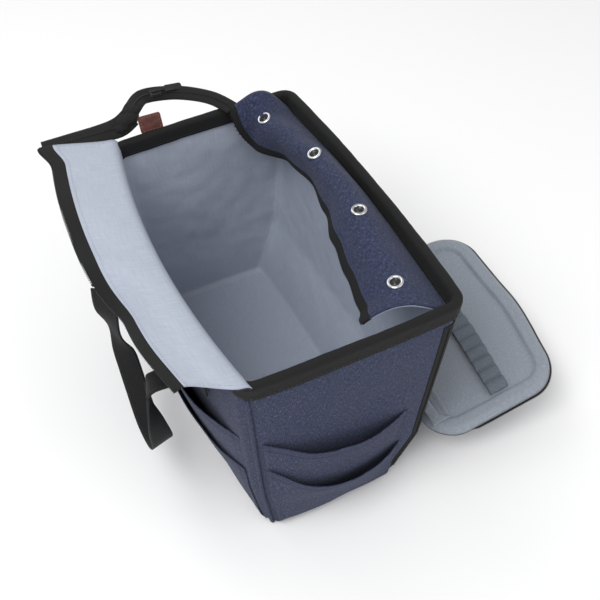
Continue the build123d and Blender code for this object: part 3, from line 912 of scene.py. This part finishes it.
def pullPiece(name, frameMatrix, length, width):
    # a small link and a flat tag with a thicker middle
    plates = [((length * 0.3, width * 0.42, 1.3), width * 0.18, length * 0.15, 0),
              ((length * 0.74, width, 1.5), width * 0.3, length * 0.6, 0),
              ((length * 0.5, width * 0.55, 1.9), width * 0.2, length * 0.62, 0)]
    return platesPiece(name, frameMatrix, plates, blackEnamel)


sliderFrame = frameAt((251, 38, 282.5), (0.0, 1, 0.05), (-0.5, 0.1, 0.85))
pullFrame = frameAt((251, 33, 285.5), (0.0, -1, -0.12), (-0.4, 0, 0.9))
attach(sliderPiece("zip_slider_body", sliderFrame, (15, 10, 5)), "zip_slider", ["zip_slider"])
attach(pullPiece("zip_puller_tag", pullFrame, 29, 9), "zip_puller", ["zip_puller"])
print("zip tail made")

# hook case, open beside the bag
case = {
    "pivot": Vector((-75, -95, 50)), "rise": math.radians(8), "length": 258, "depth": 182, "corner": 42,
    "gap": 4, "lift": 8, "narrow": 0.11, "elastic": (94, 120), "loops": 13, "slip": (10, 36),
}
caseX = Vector((1, 0, 0))
caseY = Vector((0, math.cos(case["rise"]), -math.sin(case["rise"])))
caseZ = Vector((0, math.sin(case["rise"]), math.cos(case["rise"])))


def onCase(x, y, z):
    # a point of the case from its own length, depth and height; the far end curls up a little
    curl = case["lift"] * ease(20, 150, x) + 3 * ease(-60, -140, x) * ease(-60, -190, y)
    y *= 1 - case["narrow"] * ease(10, -135, x)  # the board is drawn in towards its near end
    return case["pivot"] + caseX * x + caseY * y + caseZ * (z + curl)


def caseRing(u, grow):
    # the case's rounded outline, grown or shrunk; returns x, y and the outward direction
    hx = case["length"] / 2 + grow
    hy = case["depth"] / 2 + grow
    corner = max(2.0, case["corner"] + grow)
    lengths = [2 * (hx - corner), math.pi / 2 * corner, 2 * (hy - corner), math.pi / 2 * corner] * 2
    gone = (u % 1.0) * sum(lengths)
    index = 0
    while gone > lengths[index] + 1e-9 and index < 7:
        gone -= lengths[index]
        index += 1
    t = gone / lengths[index]
    inX = hx - corner
    inY = hy - corner
    if index in (0, 2, 4, 6):
        x, y, nx, ny = {0: (mix(inX, -inX, t), hy, 0, 1), 2: (-hx, mix(inY, -inY, t), -1, 0),
                        4: (mix(-inX, inX, t), -hy, 0, -1), 6: (hx, mix(-inY, inY, t), 1, 0)}[index]
    else:
        cx, cy, begin = {1: (-inX, inY, 90), 3: (-inX, -inY, 180), 5: (inX, -inY, 270),
                         7: (inX, inY, 0)}[index]
        angle = math.radians(begin + 90 * t)
        nx, ny = math.cos(angle), math.sin(angle)
        x, y = cx + corner * nx, cy + corner * ny
    return x, y - case["gap"] - case["depth"] / 2, nx, ny


def caseDisc(name, grow, height, relief, material, thick, side, rings=40, around=200):
    middleY = -case["gap"] - case["depth"] / 2

    def place(u, v):
        share = max(v ** 0.8, 0.002)
        x, y = caseRing(u, grow)[:2]
        x, y = x * share, mix(middleY, y, share)
        return onCase(x, y, height + relief(x, y) if relief else height)
    return clothPiece(name, (around, rings), place, (860, 120), material, thick, side, closed=True)


def edgeDepth(x, y):
    # distance in from the case's edge
    hx = case["length"] / 2
    hy = case["depth"] / 2
    dx = hx - abs(x)
    dy = hy - abs(y + case["gap"] + hy)
    corner = case["corner"]
    if dx < corner and dy < corner:
        return corner - math.hypot(corner - dx, corner - dy)
    return min(dx, dy)


def liningRelief(x, y):
    inside = edgeDepth(x, y)
    border = 3.0 * ease(1, 6, inside) * ease(19.5, 16.5, inside) - 1.3 * bell(inside - 19.5, 1.3)
    border -= 4.6 * (1 - ease(-1.6, 2.4, inside)) ** 2
    pleats = 0.9 * ripple((x, y, 0), 7, 12.0) * bell(inside - 12, 7)
    pad = 0.9 * ease(20, 34, inside)
    return border + pleats + pad + 0.7 * ripple((x, y, 0), 24, 3.3) * ease(4, 26, inside)


def outerRelief(x, y):
    inside = edgeDepth(x, y)
    return -1.5 * ease(2, 20, inside) - 0.6 * ripple((x, y, 0), 30, 6.1)


caseTop = caseDisc("case_lining_cloth", 1.0, -2.0, liningRelief, caseTricot, 0.8, 0.0, 60, 220)
sheetOn(caseTop, "hook_case", ["case_lining"])
casePad = caseDisc("case_padding_foam", -4.5, -5.4, None, peFoam, 2.6, 0.0, 10, 120)
attach(casePad, "hook_case", ["case_padding"])
caseBase = caseDisc("case_outer_cloth", -2.5, -8.0, outerRelief, navyOxford, 0.9, 0.0, 30, 200)
sheetOn(caseBase, "hook_case", ["case_outer"])


def caseBindingPoint(u, v):
    # v from the top lip, out over the edge and back under
    turn = math.radians(mix(95, -118, v))
    out = 2.0 * math.cos(turn) - 1.4
    up = 2.4 * math.sin(turn) - 7.0
    x, y, nx, ny = caseRing(u, 0)
    return onCase(x + nx * out, y + ny * out, up + 0.3 * ripple((x, y, v), 14, 2.0))


caseEdge = clothPiece("case_binding_tape", (260, 14), caseBindingPoint, (860, 22), blackTape, 0.9,
                      closed=True)
sheetOn(caseEdge, "hook_case", ["case_binding"])

# the zip runs round three sides and leaves the hinge side free
hingeHalf = case["length"] / 2 - case["corner"]
cornerArc = math.pi / 2 * case["corner"]
ringTotal = 4 * hingeHalf + 2 * (case["depth"] - 2 * case["corner"]) + 4 * cornerArc
zipFrom = (2 * hingeHalf + cornerArc) / ringTotal


def caseTapePoint(u, v):
    share = mix(zipFrom, 1.0 - cornerArc / ringTotal, u)
    x, y, nx, ny = caseRing(share, 0)
    out = mix(-2, 3 * ease(0, 0.03, u) * ease(1, 0.97, u), v)
    return onCase(x + nx * out, y + ny * out, -6.4 - 1.2 * ease(0, 6, out) + 0.5 * ripple((x, y, 0), 18, 4.0))


caseTape = clothPiece("case_zip_tape_cloth", (200, 5), caseTapePoint, (590, 7), blackTape, 0.9)
attach(caseTape, "hook_case", ["case_zip_tape"])


def caseTeethLine(share):
    return caseTapePoint(share, 1.0), caseZ


attach(teethRow("case_zip_teeth", caseTeethLine, 590, (1.3, 2.4, 1.8)), "hook_case")


def ringStitch(share):
    x, y = caseRing(share, -16)[:2]
    return onCase(x, y, -1.6 + liningRelief(x, y) + 0.6), caseZ


attach(stitchRow("case_border_stitches", ringStitch, 3.6, 740, thread["grey"], 0.7), "hook_case")
loopPitch = (case["length"] - 44) / case["loops"]


def elasticPoint(u, v):
    run = case["length"] - 44
    x = mix(-run / 2, run / 2, u)
    phase = (u * case["loops"]) % 1.0
    hump = 4.2 * math.sin(math.pi * phase) ** 0.7 if 0 < phase < 1 else 0.0
    y = -mix(case["elastic"][0], case["elastic"][1], v)
    sway = 1.2 * math.sin(v * math.pi) * (phase - 0.5)
    return onCase(x + sway, y, 0.9 + liningRelief(x, y) * 0.9 + hump)


elastic = clothPiece("case_elastic_loops", (156, 12), elasticPoint, (300, 26), greyElastic, 1.0, 1.0)
sheetOn(elastic, "hook_case", ["case_elastic"])
for loop in range(case["loops"] + 1):
    def loopSeam(share, loop=loop):
        x = loopPitch * (loop - case["loops"] / 2)
        y = -mix(case["elastic"][0] + 1, case["elastic"][1] - 1, share)
        return onCase(x, y, 2.0 + liningRelief(x, y) * 0.9), caseZ
    attach(stitchRow(f"elastic_stitches_{loop + 1}", loopSeam, 2.8, 25, thread["grey"], 0.8), "hook_case")


def slipPoint(u, v):
    half = case["length"] / 2 - 20
    x = mix(-half, half, u)
    y = -mix(case["slip"][0], case["slip"][1], v)
    fold = 0.9 * ease(0.78, 0.84, v)
    gape = 1.5 * ease(0.3, 1.0, v) * math.sin(math.pi * u) ** 0.4 * (0.7 + 0.3 * math.sin(9 * u + 1))
    return onCase(x, y, 0.6 + liningRelief(x, y) * 0.8 + gape + fold)


slip = clothPiece("case_slip_pocket_cloth", (100, 20), slipPoint, (222, 26), caseTricot, 0.9, 1.0)
sheetOn(slip, "hook_case", ["case_slip_pocket"])


def slipStitch(share):
    return slipPoint(share, 0.8) + caseZ * 1.1, caseZ


attach(stitchRow("slip_pocket_stitches", slipStitch, 3.6, 222, thread["grey"], 0.7), "hook_case")


# cloth hinge between the case and the wall
def hingePoint(u, v):
    x = mix(-75 - hingeHalf, -75 + hingeHalf, u)
    wallY = -71.5 - 1.5 * (1 - ((x + 75) / hingeHalf) ** 2)
    local = onCase(x + 75, -case["gap"] - 2, -4.5)
    spot = Vector((x, wallY, 46.5)).lerp(local, v)
    spot.z -= 2.0 * math.sin(math.pi * v)
    return spot


hinge = clothPiece("case_hinge_cloth", (60, 12), hingePoint, (206, 30), navyOxford, 1.2)
sheetOn(hinge, None, ["case_hinge_web"])
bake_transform(hinge)

# the zip half that stays on the wall, round the case's place
wallZip = {"low": 56, "top": 240, "width": 12, "nearX": -174, "farX": 64}


def frontU(x, z):
    wall = sectionAt(z)
    inX = wall["half"] - wall["corner"]
    return mix(cornerStarts[4], cornerStarts[5], (x + inX) / (2 * inX))


def wallZipRoute(share):
    # up the near corner, along under the rim, down the far strip
    rise = wallZip["top"] - wallZip["low"]
    run = wallZip["farX"] - wallZip["nearX"]
    total = 2 * rise + run
    gone = share * total
    if gone < rise:
        x, z = wallZip["nearX"], wallZip["low"] + gone
    elif gone < rise + run:
        x, z = wallZip["nearX"] + gone - rise, wallZip["top"]
    else:
        x, z = wallZip["farX"], wallZip["top"] - (gone - rise - run)
    return x, z


def wallZipPoint(share, across):
    x, z = wallZipRoute(share)
    before = wallZipRoute(max(0.0, share - 0.02))
    after = wallZipRoute(min(1.0, share + 0.02))
    x = (before[0] + 2 * x + after[0]) / 4
    z = (before[1] + 2 * z + after[1]) / 4
    way = Vector((after[0] - before[0], 0, after[1] - before[1])).normalized()
    side = Vector((way.z, 0, -way.x)) * across * wallZip["width"] / 2
    x += side.x
    z += side.z
    spot = wallPoint(frontU(x, z), z, 0.9)
    return spot, aroundBag(frontU(x, z), z)[1]


def wallTapePoint(u, v):
    return wallZipPoint(u, 2 * v - 1)[0]


wallTape = clothPiece("case_wall_zip_tape", (220, 6), wallTapePoint, (606, wallZip["width"]), blackTape, 0.9)
sheetOn(wallTape, "bag", ["case_wall_zip"])


def wallTeethLine(share):
    spot, normal = wallZipPoint(share, 0.6)
    return spot + normal * 1.2, normal


attach(teethRow("case_wall_zip_teeth", wallTeethLine, 600, (1.3, 2.6, 1.9)), "bag")


# a second, short tape wraps the near front corner down to the base
def cornerTapePoint(u, v):
    z = mix(20, 246, u)
    share = cornerMiddles[1] + (mix(-17, -2, v)) / girth
    return wallPoint(share, z, 1.4)


cornerTape = clothPiece("near_corner_zip_tape", (60, 8), cornerTapePoint, (226, 15), blackTape, 1.0)
sheetOn(cornerTape, "bag")


def cornerTeethLine(share):
    z = mix(24, 242, share)
    u = cornerMiddles[1] - 9.5 / girth
    return wallPoint(u, z, 2.6), aroundBag(u, z)[1]


attach(teethRow("near_corner_zip_teeth", cornerTeethLine, 218, (1.3, 3.0, 1.9)), "bag")

wallWay = Vector((0, -0.159471, 0.987203))
wallOut = Vector((0, -0.987203, -0.159471))
caseSliderSpot = Vector((66, -92.5, 88.9)) + wallOut * 3.0
attach(sliderPiece("case_slider_body", frameAt(caseSliderSpot, wallWay, wallOut), (12, 8, 4)),
       "case_slider", ["case_slider"])
casePullSpot = caseSliderSpot - wallWay * 6 + wallOut * 1.0
attach(pullPiece("case_puller_tag", frameAt(casePullSpot, -wallWay, wallOut), 21, 6),
       "case_puller", ["case_puller"])
print("hook case made")

# webbing handles
handle = {"width": 25, "thick": 1.9, "seam": 0.78, "cells": (120, 8)}


def handlePiece(name, points, facings, length, cells, body, stands, blendFrom=None):
    path = makePath(points, facings, handle["width"])
    piece = strap(name, path, handle["thick"], length, blackWebbing, cells)
    attach(piece, None if blendFrom else body, stands)
    pieces = [piece]
    for label, across in (("a", -handle["seam"]), ("b", handle["seam"])):
        def line(share, across=across):
            spot, out = strapPoint(path, share, across)
            return spot + out * (handle["thick"] / 2 + 0.15), out
        pieces.append(stitchRow(f"{name}_stitches_{label}", line, 4.0, length, thread["black"], 0.7))
    for part in pieces:
        if blendFrom:
            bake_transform(part)
        elif part is not piece:
            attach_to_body(part, body)


backLoop = [(35, 183, 214), (34, 186, 186), (31, 184, 150), (24, 181, 112), (0, 182, 82), (-40, 184, 71),
            (-80, 183, 82), (-104, 181, 112), (-113, 184, 150), (-115, 186, 186), (-115, 183, 214)]
backLoopFacing = [(-1, 0.5, 0), (-0.9, 0.6, 0), (-0.3, 1, 0), (-0.8, 0.4, 0.4), (-0.4, 0.1, 0.9), (0, 0, 1),
                  (0.4, 0.1, 0.9), (0.9, 0.3, 0.4), (0.8, 0.6, 0), (0.4, 1, 0), (0.2, 1, 0)]
handlePiece("back_handle_webbing", backLoop, backLoopFacing, 400, handle["cells"], "back_handle",
            ["back_handle"])
for label, x, twist in (("far", 35, -1), ("near", -115, 0.2)):
    wallY = 113 + 20 * (1 - (x / 198) ** 2)
    root = [(x, wallY + 3.5, 186), (x, wallY + 4.5, 204), (x, wallY + 13, 218), (x, 163, 222), (x, 178, 222),
            (x, 183, 214)]
    rootFacing = [(0, 1, 0), (0, 1, 0.1), (0, 0.6, 0.8), (0, 0, 1), (twist * 0.4, 0.4, 0.8),
                  (twist, 0.6, 0.1)]
    handlePiece(f"back_handle_root_{label}", root, rootFacing, 84, (44, 8), "back_handle",
                ["back_handle_roots"] if label == "far" else [], (x * mm, 0.160, 0.22))
frontLean = math.radians(10)


def onFront(x, drop, out=0.0):
    # a point on the front wall, by its drop from the handle's hinge line
    away = drop * math.sin(frontLean) - out * math.cos(frontLean)
    return (x, -125.5 + away, 243.7 - drop * math.cos(frontLean))


frontHalf = [(-85, 0, 1), (-85, 40, 1), (-83, 84, 2), (-66, 118, 2), (-32, 131, 2)]
frontLoop = [onFront(*spot) for spot in frontHalf] + [onFront(0, 133, 3)]
frontLoop += [onFront(-x, drop, out) for x, drop, out in reversed(frontHalf)]
frontFacing = [(0, -1, -0.18)] * len(frontLoop)
handlePiece("front_handle_webbing", frontLoop, frontFacing, 400, handle["cells"], "front_handle",
            ["front_handle"])
for label, x in (("near", -85), ("far", 85)):
    root = [(x, -113.0, 240), (x, -117.5, 244), (x, -122, 246.5), (x, -126.5, 244.5)]
    rootFacing = [(0, -0.2, 1), (0, -0.3, 1), (0, -0.6, 1), (0, -1, 0.3)]
    handlePiece(f"front_handle_root_{label}", root, rootFacing, 16, (16, 8), "front_handle",
                ["front_handle_roots"] if label == "near" else [], (x * mm, -0.116, 0.243))
print("handles made")

# inner CAD pieces keep their shape and take their real materials
innerPieces = {"near_end_foam": peFoam, "far_end_foam": peFoam, "back_foam": peFoam, "front_foam": peFoam,
               "base_board": greyBoard, "rim_stiffener": greyBoard}
for name, material in innerPieces.items():
    cadNodes[name].data.materials.clear()
    cadNodes[name].data.materials.append(material)

# floor, light and camera
floorMesh = bmesh.new()
bmesh.ops.create_grid(floorMesh, x_segments=2, y_segments=2, size=6.0)
paleFloor = newMaterial("paleFloor", Roughness=0.9, Base_Color=linear("fafafa"))[0]
floor = finishPiece(floorMesh, "studio_floor", paleFloor)

world = bpy.data.worlds.new("studio")
bpy.context.scene.world = world
world.use_nodes = True
world.node_tree.nodes["Background"].inputs["Color"].default_value = (1.0, 1.0, 1.0, 1.0)
world.node_tree.nodes["Background"].inputs["Strength"].default_value = 0.6
lamps = {"key": ((-0.7, 1.1, 2.2), 32, 1.4), "fill": ((-1.7, -1.2, 1.6), 9, 1.6),
         "back": ((1.5, 0.5, 2.0), 9, 1.4)}
for name, (place, power, size) in lamps.items():
    lamp = bpy.data.objects.new(name + "_light", bpy.data.lights.new(name, "AREA"))
    lamp.data.energy = power
    lamp.data.size = size
    lamp.location = place
    lamp.rotation_euler = (Vector((0, 0, 0.12)) - Vector(place)).to_track_quat("-Z", "Y").to_euler()
    bpy.context.scene.collection.objects.link(lamp)

view = {"azimuth": 247.85, "elevation": 47.39, "roll": -4.09, "lens": 52.54, "distance": 1.11104,
        "aside": -0.01895, "above": 0.09296}
azimuth, elevation, roll = (math.radians(view[key]) for key in ("azimuth", "elevation", "roll"))
backward = Vector((math.sin(azimuth) * math.cos(elevation), -math.cos(azimuth) * math.cos(elevation),
                   math.sin(elevation)))
rightward = Vector((math.cos(azimuth), math.sin(azimuth), 0))
upward = backward.cross(rightward)
rolledRight = rightward * math.cos(roll) + upward * math.sin(roll)
rolledUp = upward * math.cos(roll) - rightward * math.sin(roll)
camera = bpy.data.objects.new("camera", bpy.data.cameras.new("camera"))
camera.data.lens = view["lens"]
camera.data.sensor_width = 36
camera.data.dof.use_dof = False
camera.matrix_world = Matrix.Translation(
    backward * view["distance"] - rolledRight * view["aside"] + rolledUp * view["above"]
) @ Matrix((rolledRight, rolledUp, backward)).transposed().to_4x4()
bpy.context.scene.collection.objects.link(camera)
bpy.context.scene.camera = camera
bpy.context.scene.view_settings.view_transform = "Standard"

print("stage made")
